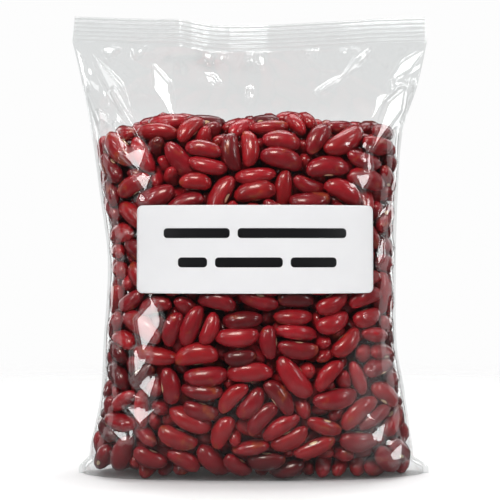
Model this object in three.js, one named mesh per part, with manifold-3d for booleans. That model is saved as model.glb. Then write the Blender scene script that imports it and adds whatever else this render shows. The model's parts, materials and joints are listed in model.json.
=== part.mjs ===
// Clear film bag of dried red kidney beans, about 1 kg, standing on its folded bottom seal.
// Millimetres. +Z is up, X runs across the front and -Y faces the viewer.
// The origin is on the floor under the middle of the bag.
import * as THREE from "three";
import { mergeVertices } from "three/addons/utils/BufferGeometryUtils.js";
import Module from "manifold-3d";

const wasm = await Module();
wasm.setup();

// The film tube: its reach from the middle at each height, with the seal at the top.
const bagHeight = 214.5;
const sealBand = 11.8;
const sealStart = bagHeight - sealBand;
const stations = [
  { z: 0, left: 75.5, right: 76.5, front: 21, back: 21 },
  { z: 12, left: 75.4, right: 76.6, front: 28.5, back: 27.5 },
  { z: 37, left: 70.2, right: 73, front: 34, back: 32.5 },
  { z: 60, left: 68.9, right: 69, front: 36, back: 34.5 },
  { z: 100, left: 66.8, right: 68.6, front: 35, back: 33.5 },
  { z: 130, left: 70.4, right: 69.4, front: 32, back: 31 },
  { z: 162, left: 74.8, right: 72, front: 26, back: 26 },
  { z: 181, left: 78.2, right: 78.3, front: 15, back: 15 },
  { z: sealStart, left: 83.2, right: 83.4, front: 0.9, back: 0.9 },
];
const lensPower = 2.2; // squareness of the film's section under the seal, where it is a lens
const lensEdge = 0.9; // how sharp the two edges of that lens are
const leastHalfFilm = 0.5; // half thickness kept at the side edges
const finBlunt = 6; // how bluntly a side edge ends
const foldRoom = 8; // a fold is full where the film stands this far from its middle plane
const edgeCrowding = 0.8; // draws the section's corners towards its two side edges
const ringCrowding = 1.35; // draws the rings towards the empty film under the seal
const filmSides = 32;
const filmRings = 13;

// The heap of beans inside the film.
const heapTop = 168;
const heapFoot = 1.4; // the beans start this far above the floor, on the bottom film
const capRise = 16; // height over which the heap rounds in to its top
const capPower = 3;
const heapPower = 2.6; // squareness of the heap's section
const sideMargin = 3.5; // clear film between the outermost beans and the bag's side edge
const clearance = 1; // between the beans' bound and the film solid
const cutterSides = 36;
const cutterLevels = 13;
const coreSides = 18;
const coreLevels = 8;

// One bean, and how much sizes vary.
const beanLength = 17;
const beanWidth = 9.4;
const beanThickness = 7.4;
const sizeSpread = 0.1;
const beanBend = 1.6; // how far the middle bows away from the ends
const shoulder = 0.5; // half width of the flat on top, as a share of the half width
const beanSink = -0.15; // how far below its middle a bean is widest, in half thicknesses
const beanRoot = -1; // how deep a bean reaches into the core, in half thicknesses
const waist = 0.24; // where a bean's two full sections stand, as a share of its length
const coreDepth = 0.42; // depth of the core under the bound, as a share of the thickness
const frontFacing = -0.4; // beans whose outward way is further towards -Y than this show most
const beanCount = 284;

// How the beans are packed: three discs stand for a bean, pushed apart round by round.
const knots = [-0.31, 0, 0.31];
const knotRadius = beanWidth * 0.48;
const packingRounds = 260;
const pushPace = 0.5;
const turnPace = 0.0125;
const seed = 11;

// The label on the front.
const labelLeft = -52;
const labelRight = 56;
const labelBottom = 85.6;
const labelTop = 125.2;
const labelCorner = 2.4;
const labelThickness = 0.5;
const labelGap = 0.7; // between the beans' bound and the label
const labelSides = 40;
const labelLevels = 12;

// The two heat seals: ribbed at the top, folded flat under the bag at the bottom.
const ribCount = 6;
const ribDepth = 0.45;
const sealHalfThickness = 0.75;
const sealHalfWidth = 83.3;
const sealDip = 3.2; // how far the middle of the top seal hangs below its ends
const sealWave = 2.2; // how far the top seal waves to and fro in plan
const sealLap = 0.6; // how far the seal reaches down into the film
const sealSteps = 12;
const footThickness = 1;
const footSides = 28;
const earLeft = 81;
const earRight = 84.5;
const earHalfDepth = 16;
const earChamfer = 6;
const windowShare = 0.93; // how much of the heap's width the windows in the film take
const windowLevels = 6;
const windowHead = 6.4; // film left standing over the windows, below the heap's top

// Tension folds in the empty film above the beans: from a seal end down over the shoulder.
const folds = [
  { fromX: -76, fromZ: 200, toX: -46, toZ: 158, width: 7, height: 3.4 },
  { fromX: -52, fromZ: 201, toX: -28, toZ: 172, width: 7, height: 2.4 },
  { fromX: 80, fromZ: 198, toX: 58, toZ: 164, width: 7, height: 3.6 },
  { fromX: 55, fromZ: 201, toX: 28, toZ: 174, width: 7, height: 2.4 },
];

// A repeatable draw between 0 and 1.
function makeDraw(start) {
  let state = start;
  return () => {
    state = (state + 0x6d2b79f5) | 0;
    let t = Math.imul(state ^ (state >>> 15), 1 | state);
    t = (t + Math.imul(t ^ (t >>> 7), 61 | t)) ^ t;
    return ((t ^ (t >>> 14)) >>> 0) / 4294967296;
  };
}

// A reach of the film at height z, on a smooth curve through the stations.
function reach(side, z) {
  const last = stations.length - 1;
  let i = 0;
  while (i < last - 1 && z > stations[i + 1].z) i += 1;
  const a = stations[i];
  const b = stations[i + 1];
  const slope = (k) => {
    const low = stations[Math.max(k - 1, 0)];
    const high = stations[Math.min(k + 1, last)];
    return (high[side] - low[side]) / (high.z - low.z);
  };
  const span = b.z - a.z;
  const t = THREE.MathUtils.clamp((z - a.z) / span, 0, 1);
  const t2 = t * t;
  const t3 = t2 * t;
  return (
    (2 * t3 - 3 * t2 + 1) * a[side] +
    (t3 - 2 * t2 + t) * span * slope(i) +
    (3 * t2 - 2 * t3) * b[side] +
    (t3 - t2) * span * slope(i + 1)
  );
}

// A closed solid from a list of rings of points, bottom ring first, each running the same way round.
function loft(rings) {
  const sides = rings[0].length;
  const points = rings.flat();
  const middle = (ring) => ring.reduce((sum, p) => sum.add(p), new THREE.Vector3()).divideScalar(sides);
  const bottom = points.push(middle(rings[0])) - 1;
  const top = points.push(middle(rings[rings.length - 1])) - 1;
  const index = [];
  for (let s = 0; s < sides; s += 1) {
    const next = (s + 1) % sides;
    index.push(bottom, next, s);
    index.push(top, (rings.length - 1) * sides + s, (rings.length - 1) * sides + next);
    for (let r = 0; r < rings.length - 1; r += 1) {
      const low = r * sides;
      const high = low + sides;
      index.push(low + s, low + next, high + next);
      index.push(low + s, high + next, high + s);
    }
  }
  const geometry = new THREE.BufferGeometry().setFromPoints(points);
  geometry.setIndex(index);
  return geometry;
}

// A three.js geometry as a solid that can be joined and cut.
function solidOf(geometry) {
  const bare = geometry.clone();
  bare.deleteAttribute("normal");
  bare.deleteAttribute("uv");
  const merged = mergeVertices(bare, 1e-4);
  return new wasm.Manifold(
    new wasm.Mesh({
      numProp: 3,
      vertProperties: new Float32Array(merged.attributes.position.array),
      triVerts: new Uint32Array(merged.index.array),
    }),
  );
}

// A finished solid as a geometry, with flat-shaded faces.
function geometryOf(solid) {
  const mesh = solid.getMesh();
  const geometry = new THREE.BufferGeometry();
  geometry.setAttribute("position", new THREE.BufferAttribute(mesh.vertProperties, 3));
  geometry.setIndex(new THREE.BufferAttribute(mesh.triVerts, 1));
  const flat = geometry.toNonIndexed();
  flat.computeVertexNormals();
  return flat;
}

// The heap's outer bound, grown by `grow`, as a value that is 1 on its surface and less inside.
function heapLevel(x, y, z, grow = 0) {
  const halfWidth = reach(x < 0 ? "left" : "right", z) - sideMargin + grow;
  const halfDepth = reach(y < 0 ? "front" : "back", z) + grow;
  const across = Math.abs(x / halfWidth) ** heapPower + Math.abs(y / halfDepth) ** heapPower;
  const up = Math.max(0, (z - heapTop + capRise) / (capRise + grow));
  return (across ** (capPower / heapPower) + up ** capPower) ** (1 / capPower);
}

// Distance from p to the heap's bound, negative inside, and the way out.
function heapDistance(p) {
  const step = 0.05;
  const level = heapLevel(p.x, p.y, p.z);
  const out = new THREE.Vector3(
    heapLevel(p.x + step, p.y, p.z) - level,
    heapLevel(p.x, p.y + step, p.z) - level,
    heapLevel(p.x, p.y, p.z + step) - level,
  ).divideScalar(step);
  const steepness = Math.max(out.length(), 1e-6);
  out.divideScalar(steepness);
  return { distance: (level - 1) / steepness, out };
}

// The heap's bound grown or shrunk by `grow`, as a solid.
function heapBody(grow, sides, levels) {
  const foot = heapFoot - Math.max(grow, 0);
  const crown = heapTop + grow;
  const rings = [];
  for (let r = 0; r <= levels; r += 1) {
    const rise = Math.sin((r / levels) * Math.PI * 0.5) ** 1.2;
    const z = Math.min(foot + (crown - foot) * rise, crown - 0.02);
    const up = Math.max(0, (z - heapTop + capRise) / (capRise + grow));
    const shrink = Math.max(0.04, (1 - up ** capPower) ** (1 / capPower));
    const ring = [];
    for (let s = 0; s < sides; s += 1) {
      const angle = (s / sides) * Math.PI * 2;
      const c = Math.cos(angle);
      const d = Math.sin(angle);
      const halfWidth = (reach(c < 0 ? "left" : "right", z) - sideMargin + grow) * shrink;
      const halfDepth = (reach(d < 0 ? "front" : "back", z) + grow) * shrink;
      ring.push(
        new THREE.Vector3(
          halfWidth * Math.sign(c) * Math.abs(c) ** (2 / heapPower),
          halfDepth * Math.sign(d) * Math.abs(d) ** (2 / heapPower),
          z,
        ),
      );
    }
    rings.push(ring);
  }
  return solidOf(loft(rings));
}

// A bean with few sides: its length on X, width on Y and thickness on Z, bowed in its width.
// The half that shows has a ridge, or a flat with two shoulders, and the hidden half is one edge.
function beanGeometry(size, shoulders) {
  const length = beanLength * size;
  const halfWidth = (beanWidth * size) / 2;
  const halfThick = (beanThickness * size) / 2;
  const bow = (t) => beanBend * size * (0.35 - 4 * t * t);
  const at = (t, across, up) => new THREE.Vector3(length * t, bow(t) + halfWidth * across, halfThick * up);
  const top = (t) => (shoulders ? [at(t, shoulder, 1), at(t, -shoulder, 1)] : [at(t, 0, 1)]);
  const section = (t) => [at(t, 1, beanSink), ...top(t), at(t, -1, beanSink), at(t, 0, beanRoot)];
  const end = (t) => Array(section(t).length).fill(at(t, 0, beanSink * 0.4));
  return loft([end(-0.5), section(-waist), section(waist), end(0.5)]);
}

// A bean's geometry where it lies: its axis along the bound and its thickness outwards.
function placedBean(bean) {
  const across = new THREE.Vector3().crossVectors(bean.out, bean.axis);
  const turn = new THREE.Matrix4().makeBasis(bean.axis, across, bean.out);
  turn.setPosition(bean.place);
  return beanGeometry(bean.size, bean.out.y < frontFacing).applyMatrix4(turn);
}

// Beans strewn through the outer part of the heap, each with a place, an axis and a size.
function strewBeans() {
  const draw = makeDraw(seed);
  const strewnDepth = 14;
  const beans = [];
  while (beans.length < beanCount) {
    const place = new THREE.Vector3(
      THREE.MathUtils.lerp(-stations[0].left, stations[0].right, draw()),
      THREE.MathUtils.lerp(-stations[3].front, stations[3].back, draw()),
      THREE.MathUtils.lerp(heapFoot + beanThickness / 2, heapTop, draw()),
    );
    const axis = new THREE.Vector3(draw() - 0.5, draw() - 0.5, 0.7 * (draw() - 0.5)).normalize();
    const size = 1 + sizeSpread * (draw() + draw() - 1);
    const { distance } = heapDistance(place);
    if (distance < 0 && distance > -strewnDepth) beans.push({ place, axis, size });
  }
  return beans;
}

// Lays a bean flat against the bound from inside, its axis along the surface.
function settle(bean) {
  const inset = (beanThickness * bean.size) / 2;
  for (let i = 0; i < 2; i += 1) {
    const { distance, out } = heapDistance(bean.place);
    bean.place.addScaledVector(out, -(distance + inset));
    bean.out = out;
  }
  bean.place.z = Math.max(bean.place.z, heapFoot + inset);
  bean.axis.addScaledVector(bean.out, -bean.axis.dot(bean.out)).normalize();
}

// Draws a bean in until none of its corners stands out of the bound.
function tuck(bean) {
  const corner = new THREE.Vector3();
  for (let i = 0; i < 3; i += 1) {
    const points = placedBean(bean).attributes.position;
    let worst = 0;
    for (let k = 0; k < points.count; k += 1) {
      worst = Math.max(worst, heapDistance(corner.fromBufferAttribute(points, k)).distance);
    }
    bean.place.addScaledVector(bean.out, -worst);
  }
}

// Beans packed side by side against the heap's bound.
function packBeans() {
  const beans = strewBeans();
  beans.forEach(settle);
  const gap = new THREE.Vector3();
  for (let round = 0; round < packingRounds; round += 1) {
    const shift = beans.map(() => new THREE.Vector3());
    const turn = beans.map(() => new THREE.Vector3());
    for (let i = 0; i < beans.length; i += 1) {
      for (let j = i + 1; j < beans.length; j += 1) {
        if (beans[i].place.distanceTo(beans[j].place) > beanLength * 1.2) continue;
        for (const a of knots) {
          for (const b of knots) {
            const armA = a * beanLength * beans[i].size;
            const armB = b * beanLength * beans[j].size;
            gap.copy(beans[i].place).addScaledVector(beans[i].axis, armA);
            gap.sub(beans[j].place).addScaledVector(beans[j].axis, -armB);
            const nearest = knotRadius * (beans[i].size + beans[j].size);
            const length = gap.length();
            if (length >= nearest || length === 0) continue;
            gap.multiplyScalar((0.5 * (nearest - length)) / length);
            shift[i].add(gap);
            shift[j].sub(gap);
            turn[i].addScaledVector(gap, armA);
            turn[j].addScaledVector(gap, -armB);
          }
        }
      }
    }
    beans.forEach((bean, i) => {
      bean.place.addScaledVector(shift[i], pushPace);
      bean.axis.addScaledVector(turn[i], turnPace).normalize();
      settle(bean);
    });
  }
  beans.forEach(tuck);
  return beans;
}

// The largest connected piece of a solid, without loose scraps.
function largestPiece(solid) {
  return solid.decompose().sort((a, b) => b.volume() - a.volume())[0];
}

// The heap: a core with the outer layer of beans fused on, cut flat where it stands.
function makeBeans() {
  const core = heapBody(-beanThickness * coreDepth, coreSides, coreLevels);
  const solids = [core, ...packBeans().map((bean) => solidOf(placedBean(bean)))];
  const ground = new THREE.BoxGeometry(2 * earRight, 2 * earRight, 2 * beanLength);
  ground.translate(0, 0, heapFoot - beanLength);
  return largestPiece(wasm.Manifold.union(solids).subtract(solidOf(ground)));
}

// How far a fold lifts the film at x, z: a ridge that fades at both ends.
function foldLift(x, z) {
  let lift = 0;
  for (const fold of folds) {
    const along = new THREE.Vector2(fold.toX - fold.fromX, fold.toZ - fold.fromZ);
    const length = along.length();
    along.divideScalar(length);
    const fromStart = new THREE.Vector2(x - fold.fromX, z - fold.fromZ);
    const t = fromStart.dot(along) / length;
    if (t <= 0 || t >= 1) continue;
    const off = Math.abs(fromStart.cross(along)) / fold.width;
    lift += fold.height * Math.sin(Math.PI * t) * Math.max(0, 1 - off);
  }
  return lift;
}

// How the top seal hangs and waves: its drop and its offset towards the back at x.
function sealHang(x) {
  const t = x / sealHalfWidth;
  return {
    drop: sealDip * (1 - t * t),
    back: sealWave * Math.sin(t * Math.PI * 1.5 + 0.6) * (1 - 0.3 * t * t),
  };
}

// Half the film's depth at a share of its width: round the heap low down, and a lens at the seal.
// Past the heap's sides, the two sheets lie together as a fin.
function filmDepth(share, width, depth, level) {
  const empty = THREE.MathUtils.smoothstep(level, heapTop - capRise, sealStart);
  const power = THREE.MathUtils.lerp(heapPower, lensPower, empty);
  const edge = THREE.MathUtils.lerp(1 / heapPower, lensEdge, empty);
  const margin = THREE.MathUtils.lerp(sideMargin, 0, empty);
  const across = (Math.abs(share) * width) / (width - margin);
  return depth * Math.max(0, 1 - across ** power) ** edge;
}

// The film from the floor to the top seal, with the tension folds of its empty part.
function filmBody() {
  const rings = [];
  for (let r = 0; r < filmRings; r += 1) {
    const t = r / (filmRings - 1);
    const level = sealStart * (1 - (1 - t) ** ringCrowding);
    const ring = [];
    for (let s = 0; s < filmSides; s += 1) {
      const angle = (s / filmSides) * Math.PI * 2;
      const c = Math.cos(angle);
      const d = Math.sin(angle);
      const halfWidth = reach(c < 0 ? "left" : "right", level);
      const halfDepth = reach(d < 0 ? "front" : "back", level);
      const share = Math.sign(c) * Math.abs(c) ** edgeCrowding;
      const plain = filmDepth(share, halfWidth, halfDepth, level);
      const lift = foldLift(share * halfWidth, level) * Math.min(1, plain / foldRoom);
      const depth = Math.max(plain + lift, leastHalfFilm * Math.min(1, Math.abs(d) * finBlunt));
      const hang = sealHang(share * halfWidth);
      const tie = THREE.MathUtils.smoothstep(level, heapTop, sealStart);
      ring.push(
        new THREE.Vector3(
          share * halfWidth,
          Math.sign(d) * depth + hang.back * tie,
          level - hang.drop * tie,
        ),
      );
    }
    rings.push(ring);
  }
  return solidOf(loft(rings));
}

// The ribbed top seal: a strip whose two faces carry ribs that run across the bag.
function topSeal() {
  const levels = ribCount * 2;
  const rings = [];
  for (let s = 0; s <= sealSteps; s += 1) {
    const t = s / sealSteps;
    const ring = [];
    const edge = (level, face) => {
      const rise = (level / levels) * (sealBand + sealLap) - sealLap;
      const spread = THREE.MathUtils.lerp(sealHalfWidth, sealHalfWidth - 1.1, level / levels);
      const x = THREE.MathUtils.lerp(-spread, spread, t);
      const hang = sealHang(x);
      const rib = level % 2 ? ribDepth : 0;
      return new THREE.Vector3(
        x,
        face * (sealHalfThickness + rib) + hang.back,
        sealStart + rise - hang.drop,
      );
    };
    for (let level = 0; level <= levels; level += 1) ring.push(edge(level, 1));
    for (let level = levels; level >= 0; level -= 1) ring.push(edge(level, -1));
    rings.push(ring);
  }
  return solidOf(loft(rings));
}

// The bottom film, with the seal folded under it and its two ends lying on the floor as ears.
function footPlate() {
  const foot = stations[0];
  const base = new THREE.Shape();
  for (let s = 0; s < footSides; s += 1) {
    const angle = (s / footSides) * Math.PI * 2;
    const c = Math.cos(angle);
    const d = Math.sin(angle);
    const x = (c < 0 ? foot.left : foot.right) * Math.sign(c) * Math.abs(c) ** (2 / heapPower);
    const y = (d < 0 ? foot.front : foot.back) * Math.sign(d) * Math.abs(d) ** (2 / heapPower);
    if (s === 0) base.moveTo(x, y);
    else base.lineTo(x, y);
  }
  const ears = new THREE.Shape();
  ears.moveTo(-earLeft, -earHalfDepth + earChamfer);
  ears.lineTo(-earLeft + earChamfer, -earHalfDepth);
  ears.lineTo(earRight - earChamfer, -earHalfDepth);
  ears.lineTo(earRight, -earHalfDepth + earChamfer);
  ears.lineTo(earRight, earHalfDepth - earChamfer);
  ears.lineTo(earRight - earChamfer, earHalfDepth);
  ears.lineTo(-earLeft + earChamfer, earHalfDepth);
  ears.lineTo(-earLeft, earHalfDepth - earChamfer);
  const sheet = { depth: footThickness, bevelEnabled: false };
  const [bottom, flaps] = [base, ears].map((shape) => solidOf(new THREE.ExtrudeGeometry(shape, sheet)));
  return bottom.add(flaps);
}

// Windows through the front and back, where the film lies tight on the beans and has no depth.
function windows() {
  const past = 2 * stations[3].front;
  const rings = [];
  for (let r = 0; r <= windowLevels; r += 1) {
    const z = THREE.MathUtils.lerp(footThickness + 0.02, heapTop - windowHead, r / windowLevels);
    const left = -(reach("left", z) - sideMargin) * windowShare;
    const right = (reach("right", z) - sideMargin) * windowShare;
    rings.push([
      new THREE.Vector3(left, -past, z),
      new THREE.Vector3(right, -past, z),
      new THREE.Vector3(right, past, z),
      new THREE.Vector3(left, past, z),
    ]);
  }
  return solidOf(loft(rings));
}

// The bag: all the film that stands clear of the beans, as one solid round them.
function makeBag() {
  const film = filmBody().add(topSeal()).add(footPlate());
  return largestPiece(film.subtract(heapBody(clearance, cutterSides, cutterLevels)).subtract(windows()));
}

// The label: a rounded rectangle that follows the front of the bag.
function makeLabel() {
  const outline = new THREE.Shape();
  const right = labelRight - labelCorner;
  const left = labelLeft + labelCorner;
  const top = labelTop - labelCorner;
  const bottom = labelBottom + labelCorner;
  outline.absarc(right, top, labelCorner, 0, Math.PI / 2);
  outline.absarc(left, top, labelCorner, Math.PI / 2, Math.PI);
  outline.absarc(left, bottom, labelCorner, Math.PI, Math.PI * 1.5);
  outline.absarc(right, bottom, labelCorner, Math.PI * 1.5, Math.PI * 2);
  const slab = new THREE.ExtrudeGeometry(outline, {
    depth: 2 * stations[3].front,
    bevelEnabled: false,
    curveSegments: 3,
  });
  slab.rotateX(Math.PI / 2);
  const outer = heapBody(labelGap + labelThickness, labelSides, labelLevels);
  const inner = heapBody(labelGap, labelSides, labelLevels);
  return outer.subtract(inner).intersect(solidOf(slab));
}

function piece(name, solid, material) {
  const mesh = new THREE.Mesh(geometryOf(solid), material);
  mesh.name = name;
  return mesh;
}

const beanSkin = new THREE.MeshStandardMaterial({ color: 0x7d1c22, roughness: 0.32, metalness: 0 });
const clearFilm = new THREE.MeshStandardMaterial({
  color: 0xe4e6e6,
  roughness: 0.12,
  metalness: 0,
  transparent: true,
  opacity: 0.35,
});
const labelPaper = new THREE.MeshStandardMaterial({ color: 0xf0f0f1, roughness: 0.6, metalness: 0 });

const bagOfBeans = new THREE.Group();
bagOfBeans.add(piece("beans", makeBeans(), beanSkin));
bagOfBeans.add(piece("bag", makeBag(), clearFilm));
bagOfBeans.add(piece("label", makeLabel(), labelPaper));

export default bagOfBeans;
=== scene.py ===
# Clear film bag of dried red kidney beans: loose beans over a dark core, thin creased film and a label.
# Sizes are in millimetres and lamp powers in watts, unless a note says otherwise.
import json
import math

import bpy
import numpy as np
from mathutils import Matrix, Vector
from mathutils.bvhtree import BVHTree
from mathutils.geometry import delaunay_2d_cdt

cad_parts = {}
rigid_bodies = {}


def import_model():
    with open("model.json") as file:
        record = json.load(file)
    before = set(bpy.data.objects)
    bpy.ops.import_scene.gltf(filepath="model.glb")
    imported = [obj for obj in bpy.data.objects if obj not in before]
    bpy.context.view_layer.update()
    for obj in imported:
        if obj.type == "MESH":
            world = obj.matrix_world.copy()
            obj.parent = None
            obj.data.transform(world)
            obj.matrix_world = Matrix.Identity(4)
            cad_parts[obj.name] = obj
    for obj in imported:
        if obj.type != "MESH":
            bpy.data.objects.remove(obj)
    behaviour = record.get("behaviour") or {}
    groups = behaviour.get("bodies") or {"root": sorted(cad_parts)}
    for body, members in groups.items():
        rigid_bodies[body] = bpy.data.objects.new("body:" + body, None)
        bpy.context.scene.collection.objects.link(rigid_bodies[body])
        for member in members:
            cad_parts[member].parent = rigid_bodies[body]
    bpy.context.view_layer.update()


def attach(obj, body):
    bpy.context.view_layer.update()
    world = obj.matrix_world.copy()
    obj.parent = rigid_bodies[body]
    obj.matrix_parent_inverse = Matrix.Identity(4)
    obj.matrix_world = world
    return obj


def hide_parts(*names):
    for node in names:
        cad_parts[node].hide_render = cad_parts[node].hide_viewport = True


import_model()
mm = 0.001


# sRGB hex to linear RGBA
def toLinear(hexColour):
    channels = [int(hexColour[i:i + 2], 16) / 255 for i in (1, 3, 5)]
    return [c / 12.92 if c <= 0.04045 else ((c + 0.055) / 1.055) ** 2.4 for c in channels] + [1.0]


def setSockets(node, values):
    for socket, value in values.items():
        node.inputs[socket].default_value = value


# Links to a node's sockets, from other sockets or from the first output that another node has in use
def linkSockets(tree, node, links):
    for socket, source in links.items():
        if hasattr(source, "outputs"):
            source = next(output for output in source.outputs if output.enabled)
        tree.links.new(source, node.inputs[socket])


def addNode(tree, kind, settings=None, values=None, links=None):
    node = tree.nodes.new(kind)
    for name, value in (settings or {}).items():
        setattr(node, name, value)
    setSockets(node, values or {})
    linkSockets(tree, node, links or {})
    return node


# A new material with its tree and its main shader
def newMaterial(name):
    made = bpy.data.materials.new(name)
    made.use_nodes = True
    return made, made.node_tree, made.node_tree.nodes["Principled BSDF"]


def addObject(name, data):
    made = bpy.data.objects.new(name, data)
    bpy.context.scene.collection.objects.link(made)
    return made


def smoothStep(low, high, value):
    t = np.clip((value - low) / (high - low), 0, 1)
    return t * t * (3 - 2 * t)


def blendTo(a, b, t):
    return a + (b - a) * t


def unit(v):
    return v / np.maximum(np.linalg.norm(v, axis=-1, keepdims=True), 1e-9)


# A smooth curve through values at places
def through(places, values, at):
    places, values, at = np.array(places, float), np.array(values, float), np.asarray(at, float)
    slopes = np.empty_like(values)
    slopes[1:-1] = (values[2:] - values[:-2]) / (places[2:] - places[:-2])
    slopes[0] = (values[1] - values[0]) / (places[1] - places[0])
    slopes[-1] = (values[-1] - values[-2]) / (places[-1] - places[-2])
    i = np.clip(np.searchsorted(places, at, side="right") - 1, 0, len(places) - 2)
    span = places[i + 1] - places[i]
    t = np.clip((at - places[i]) / span, 0, 1)
    return (
        (2 * t**3 - 3 * t**2 + 1) * values[i]
        + (t**3 - 2 * t**2 + t) * span * slopes[i]
        + (3 * t**2 - 2 * t**3) * values[i + 1]
        + (t**3 - t**2) * span * slopes[i + 1]
    )


# The bag's shape, which follows the CAD solid: its reach from the middle at each height
bag = {
    "height": 214.5,
    "sealBand": 11.8,
    "levels": [0, 12, 37, 60, 100, 130, 162, 181, 202.7],
    "left": [75.5, 75.4, 70.2, 68.9, 66.8, 70.4, 74.8, 78.2, 83.2],
    "right": [76.5, 76.6, 73, 69, 68.6, 69.4, 72, 78.3, 83.4],
    "front": [21, 28.5, 34, 36, 35, 32, 26, 15, 0.9],
    "back": [21, 27.5, 32.5, 34.5, 33.5, 31, 26, 15, 0.9],
    "belly": 60.0,  # the height of its fullest section
    "heapTop": 168,
    "heapFoot": 1.4,
    "capRise": 16,  # the heap rounds in over this height
    "capPower": 3,
    "crest": 1.8,  # the heap's top rises and falls by this much
    "crestWave": 8.5,
    "crestSlant": 0.6,  # and does so aslant, from the front to the back
    "heapPower": 2.6,  # squareness of the heap's section
    "lensPower": 2.2,  # the same for the empty film under the seal
    "lensEdge": 0.9,
    "sideMargin": 1.6,  # flat film at both sides of the full part
    "sideSlope": 0.7,  # rise of the film's margin, for each millimetre from its edge
    "footLift": 0.25,  # the film's lowest edge lies this far above the floor
    "flare": (5.0, 7.4),  # how far the bottom corners stand out, left and right
    "flareHeights": (9, 2.5),  # where a corner begins and where it is full
    "flareFrom": 0.93,  # share of the width where a corner begins
    "sealAt": [-83, -60, -45, -33, -27, -18.5, -10, 5.5, 24, 50, 58, 70, 77, 83],  # places along the seal
    "sealDrop": [0.2, 1.0, 1.4, 1.5, 2.6, 4.2, 4.5, 4.2, 3.1, 1.5, 0.9, 0.4, 0.1, 0.0],
    "sealBack": [-2.0, -2.0, -2.0, -2.0, -2.0, -2.9, -1.7, -1.4, -0.2, 0.6, 0.8, 1.5, 1.8, 1.7],
    "sealReach": 11,  # the seal's waves die out this far below it
    "sealInset": 1.1,  # the seal's ends lean in by this much
}
sealStart = bag["height"] - bag["sealBand"]


# The film's reach to one side at height z
def reach(side, z):
    return through(bag["levels"], bag[side], z)


# The beans: enough to fill the shell of the heap that shows through the film
bean = {
    "length": 18.6,
    "width": 9.5,
    "thickness": 7.7,
    "count": 900,
    "shell": 19,  # depth that is filled with beans
    "outerDepth": 7.5,  # beans whose middles lie deeper make the inner piece
    "sideMargin": 1.4,  # the beans' round ends don't reach this far into the bag's narrow sides
    "labelPress": 0.9,  # beans lie this much deeper behind the label
    "pressLeft": (-59, -54),  # where that begins and where it is full, on each side
    "pressRight": (63, 58),
    "pressLow": (80, 85),
    "pressHigh": (131, 126),
    "strewnTo": (80, 38),  # the box that places are drawn in, across and deep
    "strewnIn": 3,  # first places lie this far inside the heap
    "batch": 4000,
    "sizeSpread": 0.09,
    "sizeLimit": 1.8,  # times the spread
    "lying": 0.34,  # how steep the beans' long axes are drawn, against flat
    "lean": 0.36,  # how far a bean's flat side leans away from the film
    "onEdge": 0.2,  # share of the beans that show their narrow edge
    "seed": 5,
    "toneSeed": 91,
    "kindSeed": 40,
    "kindStep": 7,  # from one bean's kind to the next one's, so that the kinds are well mixed
    "kinds": [  # bow, bluntness of the ends, one end fatter, length
        (1.2, 2.4, 0.05, 1.0),
        (0.7, 2.15, -0.08, 1.08),
        (1.7, 2.6, 0.03, 1.02),
        (0.9, 2.3, 0.1, 0.92),
        (1.4, 2.5, -0.02, 1.12),
    ],
    "bulge": 2.1,  # fullness towards the ends
    "bowRise": 0.3,  # keeps a bowed bean's middle on its place
    "flatness": 0.92,  # squareness of its section
    "dent": 0.42,  # depth of the hollow round the eye
    "dentSpan": 0.3,  # its share of the half length
    "dentPower": 4,
    "knobbly": 0.05,
    "rings": 6,
    "sides": 10,
}


# 1 on the heap's outer bound and less inside
def heapLevel(p):
    x, y, z = p[..., 0], p[..., 1], p[..., 2]
    halfWidth = np.where(x < 0, reach("left", z), reach("right", z)) - bean["sideMargin"]
    halfDepth = np.where(y < 0, reach("front", z), reach("back", z))
    across = np.abs(x / halfWidth) ** bag["heapPower"] + np.abs(y / halfDepth) ** bag["heapPower"]
    crest = bag["crest"] * np.sin((x + bag["crestSlant"] * y) / bag["crestWave"])
    up = np.maximum(0, (z - bag["heapTop"] - crest + bag["capRise"]) / bag["capRise"])
    return (across ** (bag["capPower"] / bag["heapPower"]) + up ** bag["capPower"]) ** (1 / bag["capPower"])


# Distance to the heap's bound, negative inside, and the way out
def heapDistance(p):
    step = 0.05
    level = heapLevel(p)
    out = np.stack([heapLevel(p + step * np.eye(3)[k]) - level for k in range(3)], -1) / step
    steepness = np.maximum(np.linalg.norm(out, axis=-1), 1e-4)
    x, y, z = p[..., 0], p[..., 1], p[..., 2]
    behind = smoothStep(*bean["pressLeft"], x) * smoothStep(*bean["pressRight"], x)
    behind = behind * smoothStep(*bean["pressLow"], z) * smoothStep(*bean["pressHigh"], z)
    return (level - 1) / steepness + bean["labelPress"] * behind * (y < 0), out / steepness[..., None]


# Places through the shell, with each bean's long axis and size
def strewBeans(rng):
    wide, deep = bean["strewnTo"]
    low, high = [-wide, -deep, bag["heapFoot"] + bean["strewnIn"]], [wide, deep, bag["heapTop"]]
    places = []
    while len(places) < bean["count"]:
        p = rng.uniform(low, high, (bean["batch"], 3))
        d, _ = heapDistance(p)
        places.extend(p[(d < -bean["strewnIn"]) & (d > -bean["shell"])])
    places = np.array(places[:bean["count"]])
    axes = unit(rng.normal(size=places.shape) * [1, 1, bean["lying"]])
    limit = bean["sizeLimit"]
    sizes = 1 + bean["sizeSpread"] * np.clip(rng.normal(size=len(places)), -limit, limit)
    return places, axes, sizes


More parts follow.
